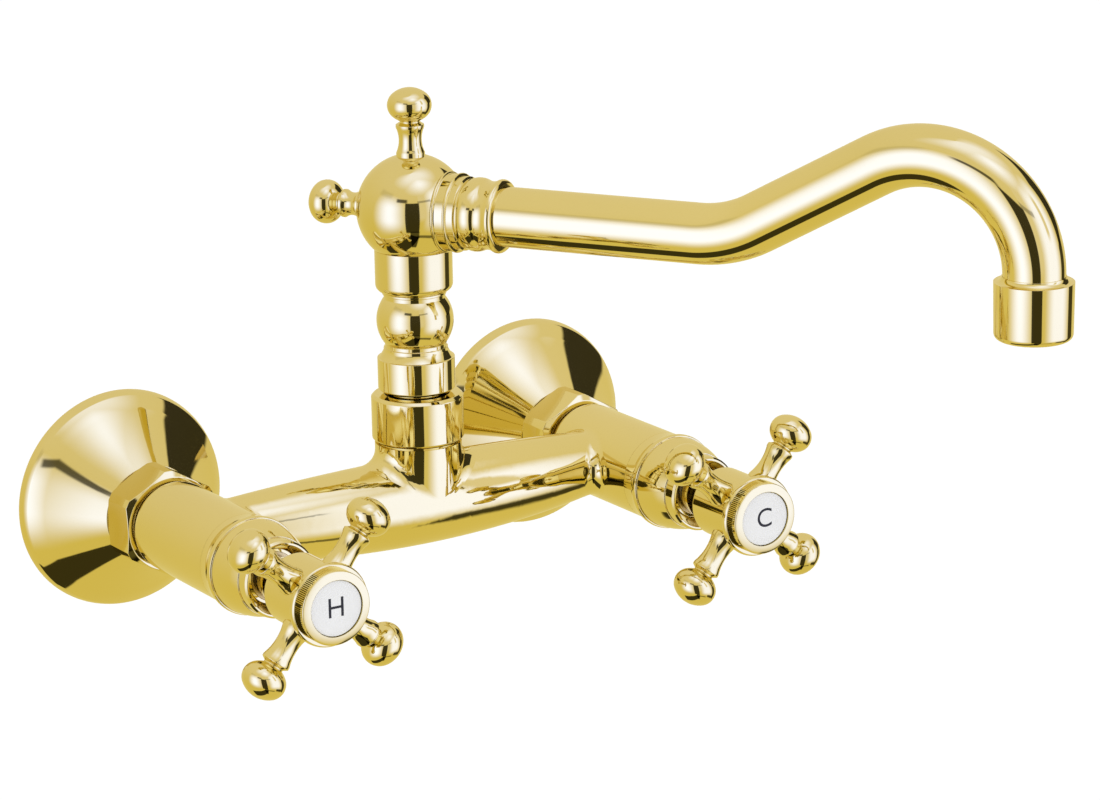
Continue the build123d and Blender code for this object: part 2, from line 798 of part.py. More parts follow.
# Handles: everything that turns with each cross
for side, x in sides:
    with BuildPart() as valve_spindle:
        with BuildSketch(valve_plane(x)):
            with BuildLine():
                Polyline(
                    (0, drive_start),
                    (disc_radius, drive_start),
                    (disc_radius, drive_start + drive_plate),
                    (spindle_radius, drive_start + drive_plate),
                    (spindle_radius, spindle_end),
                    (0, spindle_end),
                    close=True,
                )
            make_face()
        revolve(axis=valve_axis(x))
        with BuildSketch(station_plane(x, window_start)):
            with PolarLocations(drive_peg_reach, 2, start_angle=90):
                Circle(drive_peg_radius)
        extrude(amount=window_length)
        with BuildSketch(valve_plane(x)):
            for ring_station in spindle_rings:
                with BuildLine():
                    tube_outline(
                        spindle_radius - spindle_ring_section,
                        spindle_radius + spindle_ring_section,
                        ring_station - spindle_ring_groove / 2,
                        ring_station + spindle_ring_groove / 2,
                    )
                make_face()
            with BuildLine():
                tube_outline(
                    spindle_radius - circlip_groove,
                    spindle_radius + circlip_groove,
                    circlip_start,
                    circlip_end,
                )
            make_face()
        revolve(axis=valve_axis(x), mode=Mode.SUBTRACT)
        with BuildSketch(station_plane(x, spindle_end)):
            Circle(screw_radius + fit_gap)
        extrude(amount=-screw_length, mode=Mode.SUBTRACT)
    save(valve_spindle, f"{side}_valve_spindle")

    with BuildPart() as spindle_o_rings:
        with BuildSketch(valve_plane(x)):
            for ring_station in spindle_rings:
                with Locations((spindle_radius - spindle_ring_section / 2 + running_gap / 2, ring_station)):
                    Circle(spindle_ring_section / 2)
        revolve(axis=valve_axis(x))
    save(spindle_o_rings, f"{side}_spindle_o_rings")

    with BuildPart() as spindle_circlip:
        with BuildSketch(station_plane(x, circlip_start)):
            Circle(spindle_radius + circlip_reach)
            Circle(spindle_radius - circlip_groove + fit_gap, mode=Mode.SUBTRACT)
            with Locations((0, spindle_radius)):
                Rectangle(2 * circlip_reach, 2 * spindle_radius, mode=Mode.SUBTRACT)
        extrude(amount=circlip_thickness - fit_gap)
    save(spindle_circlip, f"{side}_spindle_circlip")

    with BuildPart() as moving_disc:
        with BuildSketch(station_plane(x, moving_disc_start)):
            Circle(disc_radius)
            with PolarLocations((disc_window_inner + disc_window_outer) / 2, 2, start_angle=90):
                SlotOverall(
                    disc_window_length,
                    disc_window_outer - disc_window_inner,
                    rotation=90,
                    mode=Mode.SUBTRACT,
                )
        extrude(amount=disc_thickness)
    save(moving_disc, f"{side}_moving_ceramic_disc")

    with BuildPart() as handle_hub:
        with BuildSketch(valve_plane(x)):
            with BuildLine():
                Polyline(
                    (spindle_radius + fit_gap, hub_tail_start),
                    (hub_tail_radius, hub_tail_start),
                    (hub_radius - hub_round, hub_start),
                )
                RadiusArc(
                    (hub_radius - hub_round, hub_start),
                    (hub_radius, hub_start + hub_round),
                    -hub_round,
                )
                Polyline(
                    (hub_radius, hub_start + hub_round),
                    (hub_radius, hub_end),
                    (bezel_spigot_radius + fit_gap, hub_end),
                    (bezel_spigot_radius + fit_gap, screw_seat),
                    (screw_radius + fit_gap, screw_seat),
                    (screw_radius + fit_gap, spindle_end),
                    (spindle_radius + fit_gap, spindle_end),
                    (spindle_radius + fit_gap, hub_tail_start),
                )
            make_face()
        revolve(axis=valve_axis(x))
        arm_centre = Vector(x, -arm_station, axis_height)
        for turn in range(4):
            arm_way = Vector(1, 0, 0).rotate(Axis.Y, -(handle_turn + 90 * turn))
            arm_seat_plane = Plane(origin=arm_centre + arm_way * arm_seat, z_dir=arm_way)
            with BuildSketch(arm_seat_plane):
                Circle(finial_base_radius + fit_gap)
            extrude(amount=hub_radius, mode=Mode.SUBTRACT)
            with BuildSketch(arm_seat_plane):
                Circle(finial_stud_radius + fit_gap)
            extrude(amount=-finial_stud, mode=Mode.SUBTRACT)
    save(handle_hub, f"{side}_handle_hub")

    with BuildPart() as handle_arms:
        for turn in range(4):
            arm_way = Vector(1, 0, 0).rotate(Axis.Y, -(handle_turn + 90 * turn))
            with BuildSketch(Plane(origin=arm_centre, x_dir=arm_way, z_dir=arm_way.cross(Vector(0, -1, 0)))):
                with BuildLine():
                    finial_outline(arm_seat, arm_length)
                make_face()
            revolve(axis=Axis(arm_centre, arm_way))
    save(handle_arms, f"{side}_handle_arms")

    with BuildPart() as index_bezel:
        flange_edge = bezel_flange_radius - bezel_flange_round
        with BuildSketch(valve_plane(x)):
            with BuildLine():
                Polyline(
                    (bezel_bore, hub_end - bezel_spigot),
                    (bezel_spigot_radius, hub_end - bezel_spigot),
                    (bezel_spigot_radius, hub_end),
                    (flange_edge, hub_end),
                )
                ThreePointArc(
                    (flange_edge, hub_end),
                    (bezel_flange_radius, (hub_end + flange_end) / 2),
                    (flange_edge, flange_end),
                )
                Polyline(
                    (flange_edge, flange_end),
                    (bezel_drum_radius, flange_end),
                    (bezel_drum_radius, drum_end),
                )
                ThreePointArc(
                    (bezel_drum_radius, drum_end),
                    (bezel_drum_radius - bezel_crown_fall, index_station - bezel_lip),
                    (index_radius + bezel_lip, index_station),
                )
                Polyline(
                    (index_radius + bezel_lip, index_station),
                    (index_radius + fit_gap, index_station - bezel_lip_depth),
                    (index_radius + fit_gap, disc_seat),
                    (bezel_bore, disc_seat),
                    (bezel_bore, hub_end - bezel_spigot),
                )
            make_face()
        revolve(axis=valve_axis(x))
    save(index_bezel, f"{side}_index_bezel")

    with BuildPart() as index_disc:
        with BuildSketch(station_plane(x, disc_seat)):
            Circle(index_radius)
        extrude(amount=index_thickness)
        fillet(index_disc.edges().group_by(Axis.Y)[0], index_round)
    save(index_disc, f"{side}_index_disc")

    with BuildPart() as handle_screw:
        with BuildSketch(valve_plane(x)):
            with BuildLine():
                Polyline(
                    (0, screw_seat - screw_length),
                    (screw_radius, screw_seat - screw_length),
                    (screw_radius, screw_seat),
                    (screw_head_radius, screw_seat),
                    (screw_head_radius, screw_seat + screw_head),
                    (0, screw_seat + screw_head),
                    close=True,
                )
            make_face()
        revolve(axis=valve_axis(x))
        with BuildSketch(station_plane(x, screw_seat + screw_head)):
            RegularPolygon(screw_socket, hex_sides, major_radius=False)
        extrude(amount=-screw_head / 2, mode=Mode.SUBTRACT)
    save(handle_screw, f"{side}_handle_screw")

# Swivel: ring nut and glide rings stay with the body
with BuildPart() as swivel_ring_nut:
    with BuildSketch(column_plane):
        with BuildLine():
            Polyline(
                (boss_thread_radius + fit_gap, ring_nut_start),
                (ring_nut_radius - ring_nut_chamfer, ring_nut_start),
                (ring_nut_radius, ring_nut_start + ring_nut_chamfer),
                (ring_nut_radius, ring_nut_end - ring_nut_chamfer),
                (ring_nut_radius - ring_nut_chamfer, ring_nut_end),
                (ring_nut_bore, ring_nut_end),
                (ring_nut_bore, upper_glide_end),
                (boss_thread_radius + fit_gap, upper_glide_end),
                close=True,
            )
        make_face()
    revolve(axis=column_axis)
save(swivel_ring_nut, "swivel_ring_nut")

for name, start in (("lower_glide_ring", boss_top), ("upper_glide_ring", upper_glide_start)):
    with BuildPart() as glide_ring:
        with BuildSketch(column_plane):
            with BuildLine():
                tube_outline(
                    swivel_radius + running_gap,
                    boss_thread_radius,
                    start,
                    start + glide_thickness,
                )
            make_face()
        revolve(axis=column_axis)
    save(glide_ring, name)

with BuildPart() as column_snap_ring:
    with BuildSketch(Plane(origin=column_base).offset(snap_start)):
        Circle(snap_radius)
        Circle(snap_groove_radius + fit_gap, mode=Mode.SUBTRACT)
        with Locations((0, -snap_radius)):
            Rectangle(snap_slot, snap_radius, mode=Mode.SUBTRACT)
    extrude(amount=snap_thickness)
save(column_snap_ring, "column_snap_ring")

with BuildPart() as column_o_rings:
    with BuildSketch(column_plane):
        for height in column_rings:
            with Locations((swivel_radius - column_ring_section / 2 + running_gap / 2, height)):
                Circle(column_ring_section / 2)
    revolve(axis=column_axis)
save(column_o_rings, "column_o_rings")

# Column: turned in one piece, from the spigot in the boss to the thread in the ball
with BuildPart() as swivel_column:
    step_radius = column_ring_radius - column_step
    with BuildSketch(column_plane):
        with BuildLine():
            Polyline(
                (swivel_bore, swivel_foot),
                (swivel_radius - swivel_lead, swivel_foot),
                (swivel_radius, swivel_foot + swivel_lead),
                (swivel_radius, column_ring_start),
                (column_ring_radius - column_ring_chamfer, column_ring_start),
                (column_ring_radius, column_ring_start + column_ring_chamfer),
                (column_ring_radius, column_ring_end),
                (step_radius, column_ring_end),
            )
            ThreePointArc(
                (step_radius, column_ring_end),
                (column_neck_radius + column_shoulder_cove, column_ring_end + 0.6 * column_shoulder),
                (column_bead_radius, shoulder_top),
            )
            Polyline(
                (column_bead_radius, shoulder_top),
                (column_bead_radius, lower_neck_start),
                (column_neck_radius, lower_neck_start),
                (column_neck_radius, column_ball_start),
            )
            ThreePointArc(
                (column_neck_radius, column_ball_start),
                (column_ball_radius, column_ball_height),
                (column_neck_radius, column_ball_end),
            )
            Polyline(
                (column_neck_radius, column_ball_end),
                (column_neck_radius, upper_bead_start),
                (column_bead_radius, upper_bead_start),
                (column_bead_radius, column_top_ring_start),
            )
            ThreePointArc(
                (column_bead_radius, column_top_ring_start),
                (
                    column_ring_radius - 0.3 * column_top_round,
                    column_top_ring_start + 0.3 * column_top_round,
                ),
                (column_ring_radius, column_top_ring_start + column_top_round),
            )
            Polyline(
                (column_ring_radius, column_top_ring_start + column_top_round),
                (column_ring_radius, ball_seat),
                (column_thread_radius, ball_seat),
                (column_thread_radius, ball_seat + column_thread),
                (swivel_bore, ball_seat + column_thread),
                (swivel_bore, swivel_foot),
            )
        make_face()
    revolve(axis=column_axis)
    with BuildSketch(column_plane):
        for height in column_rings:
            with BuildLine():
                tube_outline(
                    swivel_radius - column_ring_section,
                    swivel_radius + column_ring_section,
                    height - column_ring_groove / 2,
                    height + column_ring_groove / 2,
                )
            make_face()
        with BuildLine():
            tube_outline(snap_groove_radius, swivel_radius + snap_groove, snap_start, snap_end)
        make_face()
    revolve(axis=column_axis, mode=Mode.SUBTRACT)
save(swivel_column, "swivel_column")

# Ball: hollow, with flats where the column, collar and finials seat
with BuildPart() as spout_ball:
    with Locations(ball_centre):
        Sphere(ball_radius)
        Sphere(ball_cavity_radius, mode=Mode.SUBTRACT)
    with BuildSketch(Plane(origin=column_base).offset(ball_seat)):
        Circle(ball_radius)
    extrude(amount=-ball_radius, mode=Mode.SUBTRACT)
    with BuildSketch(Plane(origin=column_base).offset(ball_seat)):
        Circle(column_thread_radius + fit_gap)
    extrude(amount=ball_radius / 2, mode=Mode.SUBTRACT)
    collar_face = Plane(origin=ball_centre + spout_way * collar_seat, z_dir=spout_way)
    with BuildSketch(collar_face):
        Circle(ball_radius)
    extrude(amount=ball_radius, mode=Mode.SUBTRACT)
    with BuildSketch(collar_face):
        Circle(collar_spigot_radius + fit_gap)
    extrude(amount=-ball_radius / 2, mode=Mode.SUBTRACT)
    for way in (Vector(0, 0, 1), -spout_way):
        finial_face = Plane(origin=ball_centre + way * finial_seat, z_dir=way)
        with BuildSketch(finial_face):
            Circle(ball_radius)
        extrude(amount=ball_radius, mode=Mode.SUBTRACT)
        with BuildSketch(finial_face):
            Circle(finial_stud_radius + fit_gap)
        extrude(amount=-ball_radius / 2, mode=Mode.SUBTRACT)
save(spout_ball, "spout_ball")

with BuildPart() as top_finial:
    with BuildSketch(Plane(origin=ball_centre, x_dir=(0, 0, 1), z_dir=spout_side)):
        with BuildLine():
            finial_outline(finial_seat, top_finial_length)
        make_face()
    revolve(axis=Axis(ball_centre, (0, 0, 1)))
save(top_finial, "top_finial")

with BuildPart() as rear_finial:
    with BuildSketch(Plane(origin=ball_centre, x_dir=-spout_way, z_dir=spout_side)):
        with BuildLine():
            finial_outline(finial_seat, rear_finial_length)
        make_face()
    revolve(axis=Axis(ball_centre, -spout_way))
save(rear_finial, "rear_finial")

# Spout collar: stepped rings, a bead and a flared end that takes the tube
with BuildPart() as spout_collar:
    rim_radius = collar_step_radius - collar_step_crown
    step_bead_start = collar_low_start - collar_step_bead
    groove_start = collar_bead_start - collar_groove
    with BuildSketch(spout_plane):
        with BuildLine():
            Polyline(
                (collar_spigot_start, collar_bore),
                (collar_spigot_start, collar_spigot_radius),
                (collar_seat, collar_spigot_radius),
                (collar_seat, rim_radius),
            )
            ThreePointArc(
                (collar_seat, rim_radius),
                ((collar_seat + collar_step_start) / 2, rim_radius + collar_rim_crown),
                (collar_step_start, rim_radius),
            )
            Polyline(
                (collar_step_start, rim_radius),
                (collar_step_start, collar_step_radius),
                (step_bead_start, collar_step_radius),
            )
            ThreePointArc(
                (step_bead_start, collar_step_radius),
                ((step_bead_start + collar_low_start) / 2, collar_step_radius + collar_step_crown),
                (collar_low_start, collar_step_radius),
            )
            Polyline(
                (collar_low_start, collar_step_radius),
                (collar_low_start, collar_low_radius),
                (groove_start, collar_low_radius),
                (groove_start, collar_groove_radius),
                (collar_bead_start, collar_groove_radius),
            )
            ThreePointArc(
                (collar_bead_start, collar_groove_radius),
                (collar_bead_start + collar_bead / 2, collar_bead_radius),
                (collar_neck_start, collar_groove_radius),
            )
            Polyline(
                (collar_neck_start, collar_groove_radius),
                (collar_neck_start, collar_neck_radius),
                (collar_flare_start, collar_neck_radius),
            )
            ThreePointArc(
                (collar_flare_start, collar_neck_radius),
                (
                    collar_flare_start + 0.6 * collar_flare,
                    collar_neck_radius + 0.3 * collar_flare_rise,
                ),
                (collar_edge_start, collar_flare_radius),
            )
            ThreePointArc(
                (collar_edge_start, collar_flare_radius),
                (collar_edge_start + 0.75 * collar_flare_edge, collar_flare_radius - collar_flare_round),
                (collar_end, tube_radius + collar_end_wall),
            )
            Polyline(
                (collar_end, tube_radius + collar_end_wall),
                (collar_end, tube_radius + fit_gap),
                (tube_start, tube_radius + fit_gap),
                (tube_start, collar_bore),
                (collar_spigot_start, collar_bore),
            )
        make_face()
    revolve(axis=spout_axis)
save(spout_collar, "spout_collar")

# Spout tube: straight run, step up, arch over and down
with BuildPart() as spout_tube:
    with BuildLine(spout_plane) as tube_path:
        run = Line((tube_start, 0), (spout_straight, 0))
        step_up = JernArc(run @ 1, run % 1, spout_step_bend, spout_rise_angle)
        climb = PolarLine(step_up @ 1, spout_climb, spout_rise_angle)
        arch = JernArc(climb @ 1, climb % 1, spout_arch, -90 - spout_rise_angle)
        PolarLine(arch @ 1, spout_drop, -90)
    with BuildSketch(Plane(origin=tube_path.line @ 0, z_dir=tube_path.line % 0)):
        Circle(tube_radius)
        Circle(tube_radius - tube_wall, mode=Mode.SUBTRACT)
    sweep(path=tube_path.line)
save(spout_tube, "spout_tube")

# Outlet cup and the aerator screwed into it
with BuildPart() as outlet_cup:
    with BuildSketch(outlet_plane):
        with BuildLine():
            Polyline(
                (aerator_radius + fit_gap, cup_bottom),
                (cup_foot - cup_round, cup_bottom),
            )
            RadiusArc(
                (cup_foot - cup_round, cup_bottom),
                (cup_foot, cup_bottom + cup_round),
                -cup_round,
            )
            Polyline(
                (cup_foot, cup_bottom + cup_round),
                (cup_radius, cup_top),
                (cup_radius - cup_rim, cup_top),
            )
            TangentArc(
                (cup_radius - cup_rim, cup_top),
                (tube_radius + cup_cove_land, cup_top + cup_cove),
                tangent=(-1, 0),
            )
            Polyline(
                (tube_radius + cup_cove_land, cup_top + cup_cove),
                (tube_radius + fit_gap, cup_top + cup_cove),
                (tube_radius + fit_gap, tube_end),
                (cup_web_bore, tube_end),
                (cup_web_bore, washer_top),
                (aerator_radius + fit_gap, washer_top),
                (aerator_radius + fit_gap, cup_bottom),
            )
        make_face()
    revolve(axis=outlet_axis)
save(outlet_cup, "outlet_cup")

with BuildPart() as aerator_washer:
    with BuildSketch(outlet_plane):
        with BuildLine():
            tube_outline(aerator_radius - aerator_washer_width, aerator_radius, aerator_top, washer_top)
        make_face()
    revolve(axis=outlet_axis)
save(aerator_washer, "aerator_washer")

with BuildPart() as aerator_insert:
    with BuildSketch(Plane(origin=outlet_centre).offset(aerator_start)):
        Circle(aerator_radius)
    extrude(amount=aerator_length)
    with BuildSketch(Plane(origin=outlet_centre).offset(aerator_start + aerator_screen)):
        Circle(aerator_radius - aerator_rim)
    extrude(amount=aerator_length, mode=Mode.SUBTRACT)
    with BuildSketch(Plane(origin=outlet_centre).offset(aerator_start)):
        Circle(aerator_hole)
        for row in range(1, aerator_rows):
            with PolarLocations(row * aerator_step, 6 * row):
                Circle(aerator_hole)
    extrude(amount=aerator_screen, mode=Mode.SUBTRACT)
save(aerator_insert, "aerator_insert")
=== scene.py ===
import json
from math import asin, atan2, ceil, cos, pi, radians, sin

import bmesh
import bpy
from mathutils import Matrix, Vector


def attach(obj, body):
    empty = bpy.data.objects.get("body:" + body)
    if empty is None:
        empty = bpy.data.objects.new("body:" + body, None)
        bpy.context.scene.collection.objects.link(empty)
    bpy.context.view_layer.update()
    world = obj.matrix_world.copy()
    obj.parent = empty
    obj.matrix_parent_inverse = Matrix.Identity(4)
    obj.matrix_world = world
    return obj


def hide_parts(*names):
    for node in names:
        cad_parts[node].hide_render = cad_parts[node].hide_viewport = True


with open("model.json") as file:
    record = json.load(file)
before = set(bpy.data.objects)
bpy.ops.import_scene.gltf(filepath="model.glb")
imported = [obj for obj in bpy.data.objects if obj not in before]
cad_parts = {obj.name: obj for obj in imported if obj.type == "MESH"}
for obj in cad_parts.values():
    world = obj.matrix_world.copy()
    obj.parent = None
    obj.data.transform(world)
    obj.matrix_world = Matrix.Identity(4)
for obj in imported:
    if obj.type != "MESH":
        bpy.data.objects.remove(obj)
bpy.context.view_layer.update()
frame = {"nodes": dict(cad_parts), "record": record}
nodes = frame["nodes"]
print("frame loaded with", len(nodes), "nodes")

mm = 0.001
layout = {
    "valveX": 75.0,  # each valve from the middle, hot on the left
    "axisHeight": -6.0,  # valve axes below the wall threads
    "bodyStation": 58.22,  # wall to the middle of the cross bar
    "ballHeight": 92.6,  # valve axes up to the spout's straight run
    "spoutTurn": 32.7,  # degrees, spout to the right of straight ahead
}
sides = {"hot": -layout["valveX"] * mm, "cold": layout["valveX"] * mm}
columnBase = Vector((0, -layout["bodyStation"], layout["axisHeight"])) * mm
columnPlace = Matrix.Translation(columnBase)
ballCentre = columnBase + Vector((0, 0, layout["ballHeight"] * mm))
spoutPlace = Matrix.Translation(ballCentre) @ Matrix.Rotation(radians(layout["spoutTurn"] - 90), 4, "Z")
lieDown = Matrix.Rotation(pi / 2, 4, "Y")  # a turned piece's axis from up to along the spout
lieBack = Matrix.Rotation(-pi / 2, 4, "Y")  # and from up to the other way


def valvePlace(side):
    onAxis = Matrix.Translation((sides[side], 0, layout["axisHeight"] * mm))
    return onAxis @ Matrix.Rotation(pi / 2, 4, "X")


# Finishes: a slow drift of the tone, a fine grain in the gloss and some unevenness in the surface
noise = {"toneDetail": 3.0, "toneLow": 0.3, "toneHigh": 0.7, "grainDetail": 4.0, "waveDetail": 1.0}


def noiseOn(tree, coords, scale, detail):
    node = tree.nodes.new("ShaderNodeTexNoise")
    node.inputs["Scale"].default_value = scale
    node.inputs["Detail"].default_value = detail
    tree.links.new(coords.outputs["Object"], node.inputs["Vector"])
    return node.outputs["Fac"]


def finish(name, colour, metallic, roughness, look):
    mat = bpy.data.materials.new(name)
    mat.use_nodes = True
    tree = mat.node_tree
    shader = tree.nodes["Principled BSDF"]
    shader.inputs["Metallic"].default_value = metallic
    for socket, value in look.get("sockets", {}).items():
        shader.inputs[socket].default_value = value
    coords = tree.nodes.new("ShaderNodeTexCoord")

    ramp = tree.nodes.new("ShaderNodeValToRGB")
    darker, lighter = ramp.color_ramp.elements
    darker.position, lighter.position = noise["toneLow"], noise["toneHigh"]
    darker.color = (*[c * (1 - look["toneDrift"]) for c in colour], 1)
    lighter.color = (*[min(1, c * (1 + look["toneDrift"])) for c in colour], 1)
    tone = noiseOn(tree, coords, look["toneScale"], noise["toneDetail"])
    tree.links.new(tone, ramp.inputs["Fac"])
    tree.links.new(ramp.outputs["Color"], shader.inputs["Base Color"])

    gloss = tree.nodes.new("ShaderNodeMapRange")
    gloss.inputs["To Min"].default_value = roughness[0]
    gloss.inputs["To Max"].default_value = roughness[1]
    grain = noiseOn(tree, coords, look["grainScale"], noise["grainDetail"])
    tree.links.new(grain, gloss.inputs["Value"])
    tree.links.new(gloss.outputs["Result"], shader.inputs["Roughness"])

    bump = tree.nodes.new("ShaderNodeBump")
    bump.inputs["Strength"].default_value = look["waveStrength"]
    bump.inputs["Distance"].default_value = look["waveDepth"]
    wave = noiseOn(tree, coords, look["waveScale"], noise["waveDetail"])
    tree.links.new(wave, bump.inputs["Height"])
    tree.links.new(bump.outputs["Normal"], shader.inputs["Normal"])
    return mat


polishedLook = {
    "toneScale": 9.0, "toneDrift": 0.03, "grainScale": 900.0,
    "waveScale": 120.0, "waveStrength": 0.25, "waveDepth": 0.00002,
}
turnedLook = {
    "toneScale": 40.0, "toneDrift": 0.10, "grainScale": 1500.0,
    "waveScale": 900.0, "waveStrength": 0.3, "waveDepth": 0.00005,
}
softLook = {
    "toneScale": 60.0, "toneDrift": 0.15, "grainScale": 700.0,
    "waveScale": 1400.0, "waveStrength": 0.4, "waveDepth": 0.00005,
}
glazeLook = {
    "toneScale": 70.0, "toneDrift": 0.02, "grainScale": 500.0,
    "waveScale": 160.0, "waveStrength": 0.15, "waveDepth": 0.00003,
    "sockets": {"Specular IOR Level": 0.06},
}
finishes = {  # colour, metallic, lowest and highest roughness
    "polished_gold": finish("polishedGold", (0.80, 0.675, 0.25), 1.0, (0.03, 0.06), polishedLook),
    "turned_brass": finish("turnedBrass", (0.70, 0.56, 0.21), 1.0, (0.22, 0.40), turnedLook),
    "porcelain": finish("porcelain", (0.80, 0.80, 0.80), 0.0, (0.30, 0.42), glazeLook),
    "alumina": finish("alumina", (0.80, 0.79, 0.75), 0.0, (0.30, 0.42), turnedLook),
    "black_rubber": finish("blackRubber", (0.02, 0.02, 0.02), 0.0, (0.55, 0.75), softLook),
    "stainless_steel": finish("stainlessSteel", (0.55, 0.55, 0.56), 1.0, (0.20, 0.34), turnedLook),
    "glide_plastic": finish("glidePlastic", (0.72, 0.70, 0.64), 0.0, (0.40, 0.55), softLook),
    "aerator_plastic": finish("aeratorPlastic", (0.62, 0.63, 0.64), 0.0, (0.35, 0.50), softLook),
}
for entry in frame["record"]["subparts"]:
    node = nodes[entry["node"]]
    node.data.materials.clear()
    node.data.materials.append(finishes[entry["material_slot"]])
print("finishes on every node:", len(finishes))

# Turned pieces: an outline of radius and length, spun about its axis
lathe = {
    "arcStep": 5, "fewestSteps": 5,  # degrees for each step of an arc, and steps in the shortest
    "weld": 0.000002,  # metres, points closer than this become one
    "edgeSegments": 3, "sharp": 28,  # softened edges, from this angle in degrees
}


def vertsOf(geom):
    return [v for v in geom if isinstance(v, bmesh.types.BMVert)]


def edgesOf(geom):
    return [e for e in geom if isinstance(e, bmesh.types.BMEdge)]


def weld(bm):
    bmesh.ops.remove_doubles(bm, verts=bm.verts[:], dist=lathe["weld"])
    bmesh.ops.recalc_face_normals(bm, faces=bm.faces[:])


def roundTo(bm, pen, step):  # an arc from the pen through the first pair to the second
    start = Vector((pen.co.x, pen.co.z))
    middle, end = Vector(step[:2]) * mm, Vector(step[2:]) * mm
    a, b = middle - start, end - start
    turn = 2 * (a.x * b.y - a.y * b.x)
    aside = Vector((
        b.y * a.length_squared - a.y * b.length_squared,
        a.x * b.length_squared - b.x * a.length_squared,
    ))
    centre = start + aside / turn
    first, half, last = (atan2(p.x - centre.x, p.y - centre.y) for p in (start, middle, end))
    sweep = (last - first) % (2 * pi)
    if (half - first) % (2 * pi) > sweep:  # the other way round
        sweep -= 2 * pi
    steps = max(lathe["fewestSteps"], ceil(abs(sweep) / radians(lathe["arcStep"])))
    spun = bmesh.ops.spin(
        bm, geom=[pen], cent=(centre.x, 0, centre.y), axis=(0, 1, 0), angle=sweep, steps=steps
    )
    return vertsOf(spun["geom_last"])[0]


def turned(outline, steps, closed=True):
    bm = bmesh.new()
    first = pen = bm.verts.new((outline[0][0] * mm, 0, outline[0][1] * mm))
    for step in outline[1:]:  # two numbers run straight, four go round through the first pair
        if len(step) == 2:
            corner = bm.verts.new((step[0] * mm, 0, step[1] * mm))
            bm.edges.new((pen, corner))
            pen = corner
        else:
            pen = roundTo(bm, pen, step)
    if closed:
        bm.edges.new((pen, first))
    bmesh.ops.spin(
        bm, geom=bm.verts[:] + bm.edges[:], cent=(0, 0, 0), axis=(0, 0, 1), angle=2 * pi,
        steps=steps, use_merge=True,
    )
    weld(bm)
    return bm


def sliceOff(bm, way, reach):  # a flat across the piece, closed again
    cut = bmesh.ops.bisect_plane(
        bm, geom=bm.verts[:] + bm.edges[:] + bm.faces[:],
        plane_co=way * reach * mm, plane_no=way, clear_outer=True,
    )
    bmesh.ops.contextual_create(bm, geom=edgesOf(cut["geom_cut"]))


def piece(name, bm, place, body, slot, replaced=(), edge=0.0, sharp=lathe["sharp"]):
    bmesh.ops.transform(bm, matrix=place, verts=bm.verts[:])
    mesh = bpy.data.meshes.new(name)
    bm.to_mesh(mesh)
    bm.free()
    mesh.shade_smooth()
    mesh.materials.append(finishes[slot])
    obj = bpy.data.objects.new(name, mesh)
    bpy.context.scene.collection.objects.link(obj)
    if edge:
        soften = obj.modifiers.new("softEdges", "BEVEL")
        soften.width = edge * mm
        soften.segments = lathe["edgeSegments"]
        soften.limit_method = "ANGLE"
        soften.angle_limit = radians(sharp)
        soften.harden_normals = True
    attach(obj, body)
    if replaced:
        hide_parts(*replaced)
    return obj


# Rosettes against the wall
rosette = {
    "outline": [
        (34.5, 0), (34.5, 0.2), (34.19, 2.33, 33.3, 4.3), (23.8, 12.73, 15.14, 22.0), (13.24, 22.0),
        (13.24, 19.5), (21.75, 10.98, 31.1, 3.3), (31.1, 0),
    ],
    "steps": 144, "edge": 0.2,
}
for side in sides:
    piece(
        side + "RosetteTurned", turned(rosette["outline"], rosette["steps"]), valvePlace(side),
        "tap_body", "polished_gold", (side + "_rosette",), rosette["edge"],
    )

# Union nuts: a turned ring with its six flats sliced off
unionNut = {
    "outline": [
        (13.24, 22.3), (14.7, 22.3), (16.6, 23.24), (16.6, 35.08), (14.7, 36.02), (13.4, 36.02),
        (12.6, 35.0), (10.3, 35.0), (10.3, 32.62), (13.24, 32.62),
    ],
    "steps": 180, "edge": 0.5, "sharp": 20,
    "flats": 6, "flatReach": 15.0,  # half of the 30 mm across flats
}
for side in sides:
    nut = turned(unionNut["outline"], unionNut["steps"])
    for flat in range(unionNut["flats"]):
        turn = flat * 2 * pi / unionNut["flats"]
        sliceOff(nut, Vector((cos(turn), sin(turn), 0)), unionNut["flatReach"])
    weld(nut)
    piece(
        side + "UnionNutCut", nut, valvePlace(side),
        "tap_body", "polished_gold", (side + "_union_nut",), unionNut["edge"], unionNut["sharp"],
    )

# Bonnet covers in front of the barrels
bonnet = {
    "outline": [
        (14.1, 81.02), (14.38, 83.82, 14.9, 86.62), (15.15, 87.72, 14.9, 88.82), (14.5, 88.82),
        (13.8, 94.72, 12.1, 100.62), (11.8, 100.62), (11.8, 104.42), (11.2, 105.02), (10.6, 105.02),
        (8.4, 100.42), (7.42, 100.42), (7.42, 97.42), (10.1, 97.42), (12.0, 87.62), (12.0, 81.02),
    ],
    "steps": 128, "edge": 0.12,
}
for side in sides:
    piece(
        side + "BonnetTurned", turned(bonnet["outline"], bonnet["steps"]), valvePlace(side),
        "tap_body", "polished_gold", (side + "_bonnet_cover",), bonnet["edge"],
    )
print("supplies and bonnets turned")

# Finials: a foot, a long cove, a lip and a flattened ball
finial = {
    "footRadius": 4.4, "foot": 1.05, "sink": 0.4,  # the foot sinks into what carries it
    "waistRadius": 3.5,
    "lipRadius": 4.35, "lip": 0.8, "taper": 0.8,
    "neckRadius": 3.1, "neck": 0.4,
    "ballRadius": 6.8, "ballHalf": 5.4, "sideRadius": 4.6,
    "steps": 72, "edge": 0.12,
}


